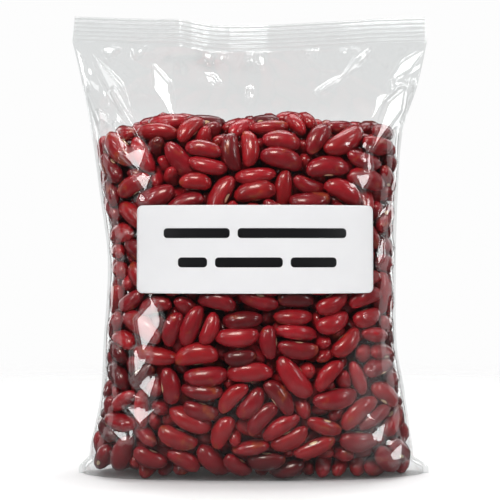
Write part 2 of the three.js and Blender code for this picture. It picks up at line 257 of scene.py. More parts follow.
# How the beans are pushed apart, round by round
packing = {
    "rounds": 260,
    "quickRounds": 12,
    "arm": 0.3,  # three discs stand for a bean, the outer two this share of its length from the middle
    "discLength": 0.96,  # a disc's size along the bean, against its width
    "filmDepths": (-9.5, -5.5),  # beans heed the film from the first depth, wholly at the second
    "turnFlat": 0.25,  # how fast they turn their flat side to it
    "laidFlat": 0.19,  # and their length along it
    "pairEvery": 10,  # rounds from one search for neighbours to the next
    "pairReach": 20.5,
    "pace": 0.35,
    "stiffness": 55,  # how hard a bean is to turn
    "knots": (-0.4, 0, 0.4),  # both ends and the middle stay inside the heap
    "endSize": 0.72,
    "endPush": 0.5,
    "endTurn": 0.09,
    "floorPush": 0.5,
    "steepness": (0.93, 0.998),  # share of its slope that a bean keeps, on the bottom and above it
    "steepHeights": (9, 24),
    "deepRoom": 2,  # the deepest beans stay this far inside the shell
}


# Half the size along a direction of a disc with these three axes
def discReach(way, axes, half):
    return np.linalg.norm(np.stack([np.sum(way * v, -1) for v in axes], -1) * half, axis=-1)


# How far each bean is moved and turned by the neighbours whose discs overlap its own
def pushApart(places, axes, widths, flats, sizes, half, pairs):
    n, (i, j) = len(places), pairs.T
    shift = np.zeros_like(places)
    twist = np.zeros_like(places)
    arms = np.array([-packing["arm"], 0, packing["arm"]])
    for a in arms:
        for b in arms:
            armA = (a * bean["length"] * sizes[i])[:, None]
            armB = (b * bean["length"] * sizes[j])[:, None]
            gap = places[i] + axes[i] * armA - places[j] - axes[j] * armB
            length = np.maximum(np.linalg.norm(gap, axis=1, keepdims=True), 1e-6)
            way = gap / length
            wanted = sum(discReach(way, (axes[k], widths[k], flats[k]), half) * sizes[k] for k in (i, j))
            move = way * (np.maximum(0, wanted[:, None] - length) * 0.5)
            turnA, turnB = move * armA, move * armB
            for k in range(3):
                shift[:, k] += np.bincount(i, move[:, k], n) - np.bincount(j, move[:, k], n)
                twist[:, k] += np.bincount(i, turnA[:, k], n) - np.bincount(j, turnB[:, k], n)
    return shift, twist


# Beans pushed apart until they lie side by side in the shell, the outer ones flat to the film
def packBeans():
    rng = np.random.default_rng(bean["seed"])
    places, axes, sizes = strewBeans(rng)
    _, out = heapDistance(places)
    leaning = rng.normal(size=places.shape) * bean["lean"]
    onEdge = rng.random(len(places)) < bean["onEdge"]
    flats = unit(out + leaning)
    half = 0.5 * np.array([bean["width"] * packing["discLength"], bean["width"], bean["thickness"]])
    for turn in range(packing["rounds"]):
        distance, out = heapDistance(places)
        nearFilm = smoothStep(*packing["filmDepths"], distance)[:, None]
        side = unit(np.cross(axes, out))
        aim = np.where(onEdge[:, None], side, out) + leaning
        flats = unit(flats + packing["turnFlat"] * nearFilm * aim)
        axes = unit(axes - packing["laidFlat"] * nearFilm * out * np.sum(axes * out, -1, keepdims=True))
        flats = unit(flats - axes * np.sum(axes * flats, -1, keepdims=True))
        widths = np.cross(flats, axes)
        if turn % packing["pairEvery"] == 0:
            apart = places[:, None, :] - places[None, :, :]
            pairs = np.argwhere(np.triu(np.sum(apart * apart, -1) < packing["pairReach"] ** 2, 1))
        shift, twist = pushApart(places, axes, widths, flats, sizes, half, pairs)
        places = places + packing["pace"] * shift
        axes = unit(axes + packing["pace"] / packing["stiffness"] * twist)
        for t in packing["knots"]:
            knot = places + axes * (t * bean["length"] * sizes)[:, None]
            distance, out = heapDistance(knot)
            size, push = (1, 1) if t == 0 else (packing["endSize"], packing["endPush"])
            inset = discReach(out, (axes, widths, flats), half) * sizes * size
            over = np.maximum(0, distance + inset)[:, None]
            places = places - out * over * push
            axes = unit(axes - out * over * t * packing["endTurn"])
            low = np.maximum(0, bag["heapFoot"] + inset - knot[:, 2])
            places[:, 2] += low * packing["floorPush"]
        axes[:, 2] *= blendTo(*packing["steepness"], smoothStep(*packing["steepHeights"], places[:, 2]))
        axes = unit(axes)
        distance, out = heapDistance(places)
        deep = np.maximum(0, -distance - bean["shell"] + packing["deepRoom"])[:, None]
        places = places + out * deep
    return {"place": places, "axis": axes, "width": np.cross(flats, axes), "flat": flats, "size": sizes,
            "distance": heapDistance(places)[0]}


# One kidney bean on the origin: length on X, bowed in Y, flattened in Z, with its eye on the hollow edge
def beanMesh(kind):
    rng = np.random.default_rng(bean["kindSeed"] + kind)
    bow, blunt, uneven, stretch = bean["kinds"][kind]
    rings, sides = bean["rings"], bean["sides"]
    points = []
    for t in np.cos(np.linspace(math.pi, 0, rings + 2))[1:-1]:
        swell = (1 - abs(t) ** blunt) ** (1 / bean["bulge"]) * (1 + uneven * t)
        for s in range(sides):
            angle = 2 * math.pi * s / sides
            c, d = math.cos(angle), math.sin(angle)
            dent = bean["dent"] * math.exp(-(t / bean["dentSpan"]) ** 2) * max(0, -c) ** bean["dentPower"]
            y = c * bean["width"] / 2 * swell + bow * (bean["bowRise"] - t * t) + dent
            z = math.copysign(abs(d) ** bean["flatness"], d) * bean["thickness"] / 2 * swell
            points.append([t * bean["length"] / 2 * stretch, y, z])
    for t in (-1, 1):
        points.append([t * bean["length"] / 2 * stretch, bow * (bean["bowRise"] - 1), 0])
    points = np.array(points) + rng.normal(size=(len(points), 3)) * bean["knobbly"]
    faces = []
    for r in range(rings - 1):
        for s in range(sides):
            n = (s + 1) % sides
            faces.append((r * sides + s, r * sides + n, (r + 1) * sides + n, (r + 1) * sides + s))
    low, high, last = rings * sides, rings * sides + 1, (rings - 1) * sides
    for s in range(sides):
        n = (s + 1) % sides
        faces.append((low, n, s))
        faces.append((high, last + s, last + n))
    mesh = bpy.data.meshes.new(f"beanKind{kind}")
    mesh.from_pydata([list(p * mm) for p in points], [], faces)
    mesh.polygons.foreach_set("use_smooth", [True] * len(mesh.polygons))
    local = mesh.attributes.new("beanPlace", "FLOAT_VECTOR", "POINT")
    local.data.foreach_set("vector", points.astype(np.float32).ravel())
    mesh.update()
    return mesh


# Geometry Nodes: one bean of the collection on each point, turned, sized and made real
def beanTree():
    tree = bpy.data.node_groups.new("layBeans", "GeometryNodeTree")
    for name, way, kind in (("Geometry", "INPUT", "Geometry"), ("Kinds", "INPUT", "Collection"),
                            ("Size", "INPUT", "Float"), ("Skin", "INPUT", "Material"),
                            ("Geometry", "OUTPUT", "Geometry")):
        tree.interface.new_socket(name, in_out=way, socket_type="NodeSocket" + kind)
    given = addNode(tree, "NodeGroupInput")
    kinds = addNode(tree, "GeometryNodeCollectionInfo", values={
        "Separate Children": True, "Reset Children": True}, links={"Collection": given.outputs["Kinds"]})
    turn, kind, size = (
        addNode(tree, "GeometryNodeInputNamedAttribute", {"data_type": form}, {"Name": name})
        for form, name in (("FLOAT_VECTOR", "turn"), ("INT", "kind"), ("FLOAT", "size")))
    spin = addNode(tree, "FunctionNodeEulerToRotation", links={"Euler": turn})
    scaled = addNode(tree, "ShaderNodeMath", {"operation": "MULTIPLY"}, links={
        0: size, 1: given.outputs["Size"]})
    laid = addNode(tree, "GeometryNodeInstanceOnPoints", values={"Pick Instance": True}, links={
        "Points": given.outputs["Geometry"], "Instance": kinds, "Instance Index": kind, "Rotation": spin,
        "Scale": scaled})
    real = addNode(tree, "GeometryNodeRealizeInstances", links={"Geometry": laid})
    skinned = addNode(tree, "GeometryNodeSetMaterial", links={
        "Geometry": real, "Material": given.outputs["Skin"]})
    addNode(tree, "NodeGroupOutput", links={"Geometry": skinned})
    return tree


# The chosen beans as one plain mesh
def layBeans(name, packed, chosen, tree, kinds, skin):
    tone = np.random.default_rng(bean["toneSeed"]).random(len(packed["place"]))
    turns = []
    for i in chosen:
        matrix = Matrix(np.stack([packed["axis"][i], packed["width"][i], packed["flat"][i]], 1).tolist())
        turns.extend(matrix.to_euler())
    mesh = bpy.data.meshes.new(name + "Points")
    mesh.from_pydata((packed["place"][chosen] * mm).tolist(), [], [])
    for title, kind, values in (
        ("turn", "FLOAT_VECTOR", np.array(turns, np.float32)),
        ("kind", "INT", (chosen * bean["kindStep"] + chosen // 3) % len(bean["kinds"])),
        ("size", "FLOAT", packed["size"][chosen].astype(np.float32)),
        ("beanTone", "FLOAT", tone[chosen].astype(np.float32)),
    ):
        field = "vector" if kind == "FLOAT_VECTOR" else "value"
        mesh.attributes.new(title, kind, "POINT").data.foreach_set(field, values)
    points = addObject(name + "Points", mesh)
    laid = points.modifiers.new("layBeans", "NODES")
    laid.node_group = tree
    given = {"Kinds": kinds, "Size": 1.0, "Skin": skin}
    for item in tree.interface.items_tree:
        if item.in_out == "INPUT" and item.name in given:
            laid[item.identifier] = given[item.name]
    bpy.context.view_layer.update()
    done = bpy.data.meshes.new_from_object(points.evaluated_get(bpy.context.evaluated_depsgraph_get()))
    bpy.data.objects.remove(points)
    done.name = name
    return addObject(name, done)


# Dried kidney bean skins, ripened in the pod and rubbed smooth in cleaning. Their own wax gives each bean a
# soft highlight, over a deep red with darker clouds and a few tan scars.
skin = {
    "reds": [(0.0, "#560c13"), (0.1, "#780c17"), (0.4, "#900c1c"), (0.7, "#991118"), (1.0, "#a61423")],
    "mottle": {"Scale": 0.16, "Detail": 4.0, "Roughness": 0.55},  # clouds about 6 mm across
    "scar": {"Scale": 0.11, "Detail": 3.0, "Distortion": 0.8},  # scars about 9 mm apart
    "wrinkle": {"Scale": 0.42, "Detail": 3.0},  # every 2.4 mm: real ones are finer than the render can show
    "wrinkleHeight": 0.4,
    "wrinkleStrength": 0.3,
    "eyeStretch": (0.62, 0.9, 1.5),  # the eye is an oval along the bean
    "eyePlace": (0, 3.7, 0),
    "apart": (37, 71, 13),  # the pattern moves this far from the first tone to the last, so no two are alike
    "marks": {  # where each mark begins and where it is full, how much it covers, and its colour
        "mottle": (0.35, 0.7, 0.6, "MULTIPLY", "#a86a70"),
        "scar": (0.61, 0.71, 0.75, "MIX", "#94441f"),
        "rim": (2.1, 1.4, 0.6, "MIX", "#3d0f14"),
        "eye": (1.4, 0.95, 0.9, "MIX", "#e6c8a2"),
    },
    "roughness": (0.3, 0.42),
    "ior": 1.5,
    "wax": 1.0,
    "waxRoughness": 0.1,
}


def makeSkin():
    made, tree, shader = newMaterial("driedBeanSkin")
    tone = addNode(tree, "ShaderNodeAttribute", {"attribute_name": "beanTone"})
    local = addNode(tree, "ShaderNodeAttribute", {"attribute_name": "beanPlace"})
    apart = addNode(tree, "ShaderNodeVectorMath", {"operation": "SCALE"}, {0: skin["apart"]}, {
        "Scale": tone.outputs["Fac"]})
    place = addNode(tree, "ShaderNodeVectorMath", {"operation": "ADD"}, links={
        0: local.outputs["Vector"], 1: apart})
    colour = addNode(tree, "ShaderNodeValToRGB", links={"Fac": tone.outputs["Fac"]})
    stops = colour.color_ramp.elements
    for k, (at, red) in enumerate(skin["reds"]):
        stop = stops[k] if k < 2 else stops.new(at)
        stop.position = at
        stop.color = toLinear(red)
    mottle, scar, wrinkle = (addNode(tree, "ShaderNodeTexNoise", values=skin[noise], links={"Vector": place})
                             for noise in ("mottle", "scar", "wrinkle"))
    eyeWay = addNode(tree, "ShaderNodeVectorMath", {"operation": "MULTIPLY_ADD"},
                     {1: skin["eyeStretch"], 2: skin["eyePlace"]}, {0: local.outputs["Vector"]})
    eyeFar = addNode(tree, "ShaderNodeVectorMath", {"operation": "LENGTH"}, links={0: eyeWay})
    sources = {"mottle": mottle, "scar": scar, "rim": eyeFar, "eye": eyeFar}
    for mark, (begins, full, covers, blend, over) in skin["marks"].items():
        share = addNode(tree, "ShaderNodeMapRange", values={
            "From Min": begins, "From Max": full, "To Max": covers}, links={"Value": sources[mark]})
        colour = addNode(tree, "ShaderNodeMix", {"data_type": "RGBA", "blend_type": blend},
                         {7: toLinear(over)}, {"Factor": share, 6: colour})  # 6 and 7 are its two colours
    gloss = addNode(tree, "ShaderNodeMapRange", values={
        "To Min": skin["roughness"][0], "To Max": skin["roughness"][1]}, links={"Value": mottle})
    bump = addNode(tree, "ShaderNodeBump", links={"Height": wrinkle}, values={
        "Strength": skin["wrinkleStrength"], "Distance": skin["wrinkleHeight"] * mm})
    setSockets(shader, {
        "IOR": skin["ior"], "Coat Weight": skin["wax"], "Coat Roughness": skin["waxRoughness"]})
    linkSockets(tree, shader, {"Base Color": colour, "Roughness": gloss, "Normal": bump})
    return made


print("packing the beans")
packed = packBeans()
kindsHeld = bpy.data.collections.new("beanKinds")
bpy.context.scene.collection.children.link(kindsHeld)
for kind in range(len(bean["kinds"])):
    kindsHeld.objects.link(bpy.data.objects.new(f"beanKind{kind}", beanMesh(kind)))
skinMaterial = makeSkin()
tree = beanTree()
order = np.arange(len(packed["place"]))
outer = order[packed["distance"] > -bean["outerDepth"]]
inner = order[packed["distance"] <= -bean["outerDepth"]]
print("beans next to the film", len(outer), "and behind them", len(inner))
outerBeans = layBeans("beans_outer", packed, outer, tree, kindsHeld, skinMaterial)
innerBeans = layBeans("beans_inner", packed, inner, tree, kindsHeld, skinMaterial)
for held in list(kindsHeld.objects):
    bpy.data.objects.remove(held)
bpy.data.collections.remove(kindsHeld)


# Panels of points (rows by columns by 3) as one mesh
def gridMesh(name, panels):
    points, faces = [], []
    for panel, flip in panels:
        rows, columns = panel.shape[:2]
        start = len(points)
        points.extend(panel.reshape(-1, 3).tolist())
        for r in range(rows - 1):
            for c in range(columns - 1):
                a = start + r * columns + c
                quad = (a, a + 1, a + columns + 1, a + columns)
                faces.append(quad[::-1] if flip else quad)
    mesh = bpy.data.meshes.new(name)
    mesh.from_pydata([[x * mm, y * mm, z * mm] for x, y, z in points], [], faces)
    mesh.polygons.foreach_set("use_smooth", [True] * len(mesh.polygons))
    mesh.update()
    return mesh


# A material with clouds in its tone, so many to the metre, and where it has relief, the same clouds in that
def cloudedMaterial(name, dark, pale, roughness, clouds, detail, relief=0, faint=0.1):
    made, tree, shader = newMaterial(name)
    place = addNode(tree, "ShaderNodeTexCoord")
    noise = addNode(tree, "ShaderNodeTexNoise", values={"Scale": clouds, "Detail": detail},
                    links={"Vector": place.outputs["Object"]})
    ramp = addNode(tree, "ShaderNodeValToRGB", links={"Fac": noise})
    for stop, colour in zip(ramp.color_ramp.elements, (dark, pale)):
        stop.color = toLinear(colour)
    setSockets(shader, {"Roughness": roughness})
    linkSockets(tree, shader, {"Base Color": ramp})
    if relief:
        bump = addNode(tree, "ShaderNodeBump", values={"Strength": faint, "Distance": relief * mm},
                       links={"Height": noise})
        linkSockets(tree, shader, {"Normal": bump})
    return made


# The core that the deepest beans lie on. It stands for beans in the dark of the heap, whose skins get hardly
# any light: dull, and from near black to a dark red, in clouds of 7 mm, a bean's thickness.
heapCore = {
    "rings": 26,
    "sides": 64,
    "footLift": 3,
    "behind": 0.8,  # share of the beans' shell that it stays behind
    "ringSpread": 1.2,
    "capRise": 20,  # it rounds in over this height
    "capReach": 20.5,
    "skin": {"dark": "#120506", "pale": "#3a1014", "roughness": 0.8, "clouds": 140.0, "detail": 2.0},
}


def makeCore():
    angles = np.linspace(0, 2 * math.pi, heapCore["sides"] + 1)[:-1]
    behind = bean["shell"] * heapCore["behind"]
    foot, crown = bag["heapFoot"] + heapCore["footLift"], bag["heapTop"] - behind
    power, capPower = 2 / bag["heapPower"], bag["capPower"]
    rings = []
    for t in np.linspace(0, 1, heapCore["rings"]):
        z = foot + (crown - foot) * math.sin(t * math.pi / 2) ** heapCore["ringSpread"]
        cap = max(0, (z - crown + heapCore["capRise"]) / heapCore["capReach"])
        shrink = (1 - cap**capPower) ** (1 / capPower)
        c, d = np.cos(angles), np.sin(angles)
        wide = np.where(c < 0, reach("left", z), reach("right", z)) - bag["sideMargin"] - behind
        deep = np.where(d < 0, reach("front", z), reach("back", z)) - behind
        rings.append(np.stack([wide * np.sign(c) * np.abs(c) ** power * shrink,
                               deep * np.sign(d) * np.abs(d) ** power * shrink, np.full_like(c, z)], -1))
    rings = np.array(rings)
    count, sides = rings.shape[:2]
    faces = []
    for r in range(count - 1):
        low, high = r * sides, (r + 1) * sides
        for s in range(sides):
            n = (s + 1) % sides
            faces.append((low + s, low + n, high + n, high + s))
    faces += [tuple(range(sides))[::-1], tuple((count - 1) * sides + s for s in range(sides))]
    mesh = bpy.data.meshes.new("heap_core")
    mesh.from_pydata((rings.reshape(-1, 3) * mm).tolist(), [], faces)
    mesh.materials.append(cloudedMaterial("shadedBeanSkin", **heapCore["skin"]))
    return addObject("heap_core", mesh)


core = makeCore()


# The studio: a white floor that fades into a white room, softboxes and a level camera
studio = {
    "roomLight": 0.028,
    "floorGlow": 0.14,  # the sheet is lit from below as well, as on a light table
    "paintedShadowGlow": 0.03,  # and less under the bag, which paints a shadow round its foot
    "paintedShadowRing": (0.7, 1.7),  # the painted shadow fades from the one to the other, in shares of the bag's half width
    "mirroredFloor": 190,  # only the floor this near the middle shows in the film
    "mirrorFade": 0.5,  # share of that where it starts to fade
    "floorMirror": 0.14,  # and no more than this share of its light
    "floorRadius": 640,
    "floorSides": 96,
    "floorFade": 0.35,  # share of the radius where the floor starts to fade
    "floorColour": "#fafafa",
    "floorRoughness": 0.8,
    "floorGloss": 0.2,
    "white": "#ffffff",
    "backdrop": "#fdfdfd",
    "camera": (0, -600, 104.9),
    "lens": 91.9,
    "aim": (0, 0, 100),  # where every lamp points
    "lamps": {  # place, size and power
        "left": ((-556, -518, 330), (90, 240), 0.64),
        "right": ((582, -489, 330), (90, 240), 0.64),
        "highLeft": ((-600, -330, 740), (150, 150), 0.7),
        "highRight": ((620, -270, 750), (150, 150), 0.7),
        "softLeft": ((-650, -330, 470), (90, 160), 0.13),
        "softRight": ((650, -330, 470), (90, 160), 0.17),
        "keyMiddle": ((0, 30, 950), (50, 150), 0.24),
        "keyRight": ((150, 30, 950), (60, 150), 0.5),
        "panelLeft": ((-720, 130, 220), (300, 800), 0.45),
        "panelRight": ((700, 170, 220), (300, 800), 0.5),
        "top": ((0, 190, 780), (800, 360), 3.2),
        "backLeft": ((-480, 560, 300), (200, 600), 0.8),
        "backRight": ((480, 560, 300), (200, 600), 0.8),
    },
    "fills": {  # broad fills with no mirror image in the film
        "frontFill": ((0, -1000, 560), (1000, 700), 5.8),
        "overheadFill": ((0, -120, 950), (800, 500), 3.0),
        "beanFill": ((-240, -640, 880), (500, 500), 7.8),
    },
    "beanSheen": ((-170, -530, 580), (260, 220), 2.8),
    "sheenColour": "#fff4e8",
}


# The label: coated paper, rolled smooth, which is an even satin white. Its bars are printed ink, a thin
# smooth film that is near black with a low sheen.
label = {
    "left": -50.7,
    "right": 55.4,
    "bottom": 85.6,
    "top": 124.9,
    "corner": 2.4,
    "thickness": 0.16,
    "gap": 0.45,
    "step": 1.0,  # distance between the points of its mesh
    "paper": {  # its fibres gather in clouds of 17 mm
        "dark": "#e4e4e6",
        "pale": "#eaeaeb",
        "roughness": 0.42,
        "clouds": 60.0,
        "detail": 3.0,
        "relief": 0.05,
    },
    "ink": {  # it lies thicker and thinner in clouds of 11 mm
        "dark": "#101012",
        "pale": "#17171a",
        "roughness": 0.4,
        "clouds": 90.0,
        "detail": 3.0,
        "relief": 0.02,
    },
    "barCorner": 1.6,
    "barThickness": 0.03,
    "barStep": 0.6,
    "bars": [  # two rows of plain dark bars: left, right, bottom, top
        (-38.5, -9.0, 110.2, 114.6),
        (-5.5, 43.0, 110.2, 114.6),
        (-32.0, -19.0, 97.2, 101.6),
        (-15.5, 14.5, 97.2, 101.6),
        (18.0, 38.5, 97.2, 101.6),
    ],
}


# The folds of the front sheet. Each is a flat blade of film that stands off like a pleat and is turned so
# that it mirrors one of the lamps. A row has the x and z of its two ends, its width, the share of its length
# where it is widest, and the lamp.
folds = {
    "back": 1.2,  # how steeply a pleat falls back to the film
    "curl": 0.35,  # and how much more steeply with each millimetre
    "rim": 0.5,  # the mesh rounds off a blade's edge this far in, so it is cut so much larger
    "nearLabel": 1.2,  # no pleat comes nearer to the label than this
    "ease": 0.00026,  # play in a blade's slope, for each millimetre of its lamp's height
    "frontal": (0.2, 0.55),  # no pleat stands off the bag's sides, which face the front by less than this
}
blades = {
    # the empty film, left
    "edgeLeft": (-81.2, 199.0, -76.4, 181.0, 1.6, 0.4, "left"),
    "hairLeft": (-72.0, 190.0, -62.8, 176.0, 0.4, 0.5, "highLeft"),
    "paleLeft": (-73.0, 195.5, -55.0, 168.5, 4.6, 0.6, "softLeft"),
    "longLeft": (-62.8, 177.4, -46.6, 150.3, 0.9, 0.45, "left"),
    "scrapLeft": (-70.0, 169.0, -65.0, 163.0, 3.2, 0.5, "softLeft"),
    "tuckLeft": (-65.5, 200.4, -65.2, 195.6, 8.0, 0.35, "highLeft"),
    "forkLeft": (-55.4, 199.6, -53.4, 195.4, 1.3, 0.5, "highLeft"),
    "forkRight": (-49.6, 199.0, -53.2, 195.4, 1.3, 0.5, "highLeft"),
    "bladeLeft": (-44.8, 190.2, -34.2, 165.4, 6.0, 0.38, "highLeft"),
    # the empty film, middle
    "tuckMiddle": (-19.9, 198.0, -18.6, 192.6, 4.4, 0.3, "highLeft"),
    "hookMiddle": (-21.2, 186.2, -15.2, 181.8, 2.2, 0.6, "highLeft"),
    "gemMiddle": (-12.0, 197.0, -13.8, 192.4, 1.9, 0.5, "highLeft"),
    "dropMiddle": (0.2, 195.4, 1.6, 191.2, 1.9, 0.6, "highRight"),
    "dropRight": (4.4, 196.8, 5.8, 189.4, 2.6, 0.4, "highRight"),
    "gemLow": (0.2, 178.2, 0.5, 173.6, 1.9, 0.5, "highRight"),
    # the empty film, right
    "fanTop": (56.4, 198.6, 44.6, 186.2, 3.0, 0.45, "softRight"),
    "fanLow": (43.6, 185.4, 32.0, 177.4, 1.0, 0.3, "softRight"),
    "fanCore": (55.6, 197.8, 50.6, 192.6, 1.0, 0.5, "highRight"),
    "beadFirst": (27.4, 198.0, 28.4, 195.8, 1.0, 0.4, "highRight"),
    "beadSecond": (31.4, 197.6, 31.0, 195.0, 0.4, 0.5, "highRight"),
    "beadThird": (43.4, 197.8, 46.6, 198.2, 0.4, 0.5, "highRight"),
    "beadFourth": (49.2, 198.6, 52.6, 198.4, 0.8, 0.5, "highRight"),
    "cornerBand": (81.4, 199.0, 65.0, 183.6, 4.4, 0.5, "right"),
    "cornerFoot": (65.4, 183.8, 75.8, 180.8, 2.2, 0.6, "right"),
    "cornerTail": (65.6, 183.0, 67.6, 175.2, 2.0, 0.5, "right"),
    "bladeRight": (70.6, 178.0, 55.6, 150.8, 5.8, 0.25, "right"),
    # over the beans, left of the label
    "spurLeft": (-61.8, 162.4, -57.4, 150.6, 1.8, 0.8, "left"),
    "kiteLeft": (-52.4, 150.6, -50.2, 140.2, 12.2, 0.08, "left"),
    "kiteLow": (-48.0, 139.8, -47.0, 130.8, 8.0, 0.15, "left"),
    "stemLeft": (-47.5, 131.4, -49.2, 126.4, 5.0, 0.9, "left"),
    # over the beans, right of the label
    "spurRight": (54.0, 150.8, 53.8, 139.6, 2.4, 0.75, "right"),
    "kiteRight": (51.0, 139.4, 50.6, 131.6, 7.8, 0.08, "right"),
    "stemRight": (51.0, 132.4, 51.4, 126.4, 1.0, 0.5, "right"),
    "chipRight": (62.4, 125.4, 58.6, 119.6, 2.0, 0.5, "right"),
    "spikeRight": (60.4, 111.0, 58.2, 98.0, 2.6, 0.7, "right"),
    # below the label, left
    "kiteThird": (-45.0, 84.2, -39.6, 73.4, 2.6, 0.5, "left"),
    "kiteFourth": (-43.6, 82.0, -47.6, 59.0, 11.4, 0.4, "left"),
    "kiteFifth": (-46.8, 64.6, -51.2, 47.6, 8.0, 0.35, "left"),
    "toothLeft": (-47.2, 48.0, -44.6, 38.4, 10.6, 0.1, "left"),
    "barLeft": (-55.1, 39.2, -45.6, 38.2, 0.8, 0.5, "left"),
    "smileLeft": (-49.1, 34.6, -49.5, 26.6, 14.6, 0.1, "left"),
    "chipLeft": (-52.8, 23.6, -54.2, 19.2, 3.4, 0.2, "left"),
    "arrowLeft": (-62.6, 22.6, -53.6, 19.6, 5.4, 0.6, "left"),
    # below the label, right
    "chinRight": (51.4, 31.0, 57.0, 27.8, 2.0, 0.4, "right"),
    "toothRight": (61.6, 26.8, 55.4, 18.8, 6.4, 0.8, "right"),
    "barRight": (58.0, 16.6, 66.4, 17.8, 3.4, 0.6, "right"),
    "wedgeRight": (69.4, 16.2, 65.2, 8.4, 6.0, 0.8, "right"),
}


# The film: two sheets over the beans, creased, and welded in a ribbed seal at the top
film = {
    "columns": 290,
    "rows": 258,
    "backColumns": 150,
    "backRows": 150,
    "sealRows": 66,
    "fineShares": 4001,  # points along which the section is measured
    "baseRows": 24,
    "baseRuffle": 0.12,
    "skin": 0.12,  # the film lies this far above the beans
    "pull": 0.005,  # how hard it is drawn in between them
    "drapeRounds": 110,
    "probeFrom": 7.0,  # beans are looked for from this far outside, and so far in
    "probeLength": 20.0,
    "unheld": -9.0,  # where it finds none
    "liftLimits": (-2.5, 1.2),
    "drapeTop": 8,  # no bean reaches this far above the heap's top
    "lettingGo": (-6, 9),  # from the heap's top, where the film stops following the beans
    "slackFrom": (-6, 8),  # and where it turns greyer
    "ribs": 6,
    "ribDepth": 0.66,
    "sealHalf": 0.3,
    "finHalf": 0.2,
    "sealFade": (-0.8, 0.4),  # from the seal's start, where the film turns into ribs
    "weldFade": (-0.5, 0.5),  # and where it turns milky
    "calmSeal": (-2.5, 0.5),  # no crease or fold runs into the seal
    "calmFoot": (0, 3),  # or into the foot
    "creaseDepth": 4,  # creases grow with the bag's depth up to this
    "creaseLeast": 0.1,
    "creaseHaze": 2.0,
    "groove": 0.35,  # haze in the seal's grooves, against its crests: the milkier crests are partly the weld's pressed pattern and partly painted highlight lines along the ribs
    "paintedSheenMiddle": (54, 38),  # milky haze low on the front's right: a painted sheen, standing for the lamps' pale reflection in the film
    "paintedSheenReach": (16, 44),
    "paintedSheenEdge": 0.3,  # share of the reach where it starts to fade
    "paintedSheen": 0.55,
    "seed": 17,
}


# Half the film's depth at a share of its width
def filmDepth(share, width, depth, level):
    empty = smoothStep(bag["heapTop"] - bag["capRise"], sealStart, level)
    power = blendTo(bag["heapPower"], bag["lensPower"], empty)
    edge = blendTo(1 / bag["heapPower"], bag["lensEdge"], empty)
    margin = blendTo(bag["sideMargin"], 0, empty)
    across = np.abs(share) * width / (width - margin)
    full = depth * np.maximum(0, 1 - across**power) ** edge
    fromEdge = width * (1 - np.abs(share))
    return np.maximum(full, np.minimum(fromEdge, margin) * bag["sideSlope"])


# Shares of the width that are evenly spaced along the film's section at its belly
def evenShares(columns):
    fine = np.linspace(-1, 1, film["fineShares"])
    belly = bag["belly"]
    width, depth, level = reach("left", belly), reach("front", belly), np.full_like(fine, belly)
    y = filmDepth(fine, width, depth, level)
    run = np.concatenate([[0], np.cumsum(np.hypot(np.diff(fine * width), np.diff(y)))])
    return np.interp(np.linspace(0, run[-1], columns), run, fine)


# The seal's ribs: 0 in a groove and 1 on a crest
def ribWave(level):
    return 0.5 - 0.5 * np.cos(2 * math.pi * film["ribs"] * (level - sealStart) / bag["sealBand"])


# A smooth step between two heights that are given from another one
def stepFrom(base, offsets, value):
    return smoothStep(base + offsets[0], base + offsets[1], value)


# One sheet before it is draped: points, the way out and the level at each
def plainPanel(face, columns, rows):
    share = evenShares(columns)[None, :]
    level = np.concatenate([np.linspace(bag["footLift"], sealStart, rows),
                            np.linspace(sealStart, bag["height"], film["sealRows"])[1:]])[:, None]
    body = np.minimum(level, sealStart)
    width = np.where(share < 0, reach("left", body), reach("right", body))
    flare = np.where(share < 0, *bag["flare"]) * smoothStep(*bag["flareHeights"], level)
    inset = np.maximum(0, level - sealStart) / bag["sealBand"] * bag["sealInset"]
    depth = filmDepth(share, width, reach("front" if face < 0 else "back", body), body)
    depth = np.maximum(depth, film["finHalf"])
    corner = smoothStep(bag["flareFrom"], 1, np.abs(share))
    x = share * width + np.sign(share) * (flare * corner - inset * np.abs(share))
    drop, back = through(bag["sealAt"], bag["sealDrop"], x), through(bag["sealAt"], bag["sealBack"], x)
    tie = smoothStep(bag["heapTop"] - bag["capRise"], sealStart, level)
    rib = film["sealHalf"] + film["ribDepth"] * ribWave(level)
    depth = blendTo(depth, rib, stepFrom(sealStart, film["sealFade"], level))
    y = face * depth + back * smoothStep(sealStart - bag["sealReach"], sealStart, level)
    z = level - drop * tie + 0 * share
    points = np.stack([x + 0 * level, y, z], -1)
    out = unit(np.cross(np.gradient(points, axis=1), np.gradient(points, axis=0))) * (1 if face < 0 else -1)
    return points, out, level + 0 * share


# The beans' faces in one tree, to be searched by a ray
def searchTree(*pieces):
    points, faces = [], []
    for piece in pieces:
        start = len(points)
        points.extend(v.co / mm for v in piece.data.vertices)
        faces.extend([start + i for i in p.vertices] for p in piece.data.polygons)
    return BVHTree.FromPolygons(points, faces)


# How far each point of the film stands from its plain place, resting on the beans like a taut skin
def drape(points, out, beansTree):
    rows, columns = points.shape[:2]
    held = np.full((rows, columns), film["unheld"])
    away = film["probeFrom"]
    for r in range(rows):
        if points[r, columns // 2, 2] > bag["heapTop"] + film["drapeTop"]:
            break
        for c in range(columns):
            start = Vector(points[r, c] + out[r, c] * away)
            hit, _, _, distance = beansTree.ray_cast(start, Vector(-out[r, c]), film["probeLength"])
            if hit is not None:
                held[r, c] = away - distance
    lift = np.zeros((rows, columns))
    for _ in range(film["drapeRounds"]):
        around = lift.copy()
        around[1:-1, 1:-1] = (lift[:-2, 1:-1] + lift[2:, 1:-1] + lift[1:-1, :-2] + lift[1:-1, 2:]) / 4
        lift = np.maximum(held + film["skin"], around - film["pull"])
        lift = np.clip(lift, *film["liftLimits"])
        lift[0], lift[-1], lift[:, 0], lift[:, -1] = 0, 0, 0, 0
    free = stepFrom(bag["heapTop"], film["lettingGo"], points[..., 2])
    return np.where(lift < 0, lift * (1 - free), lift)


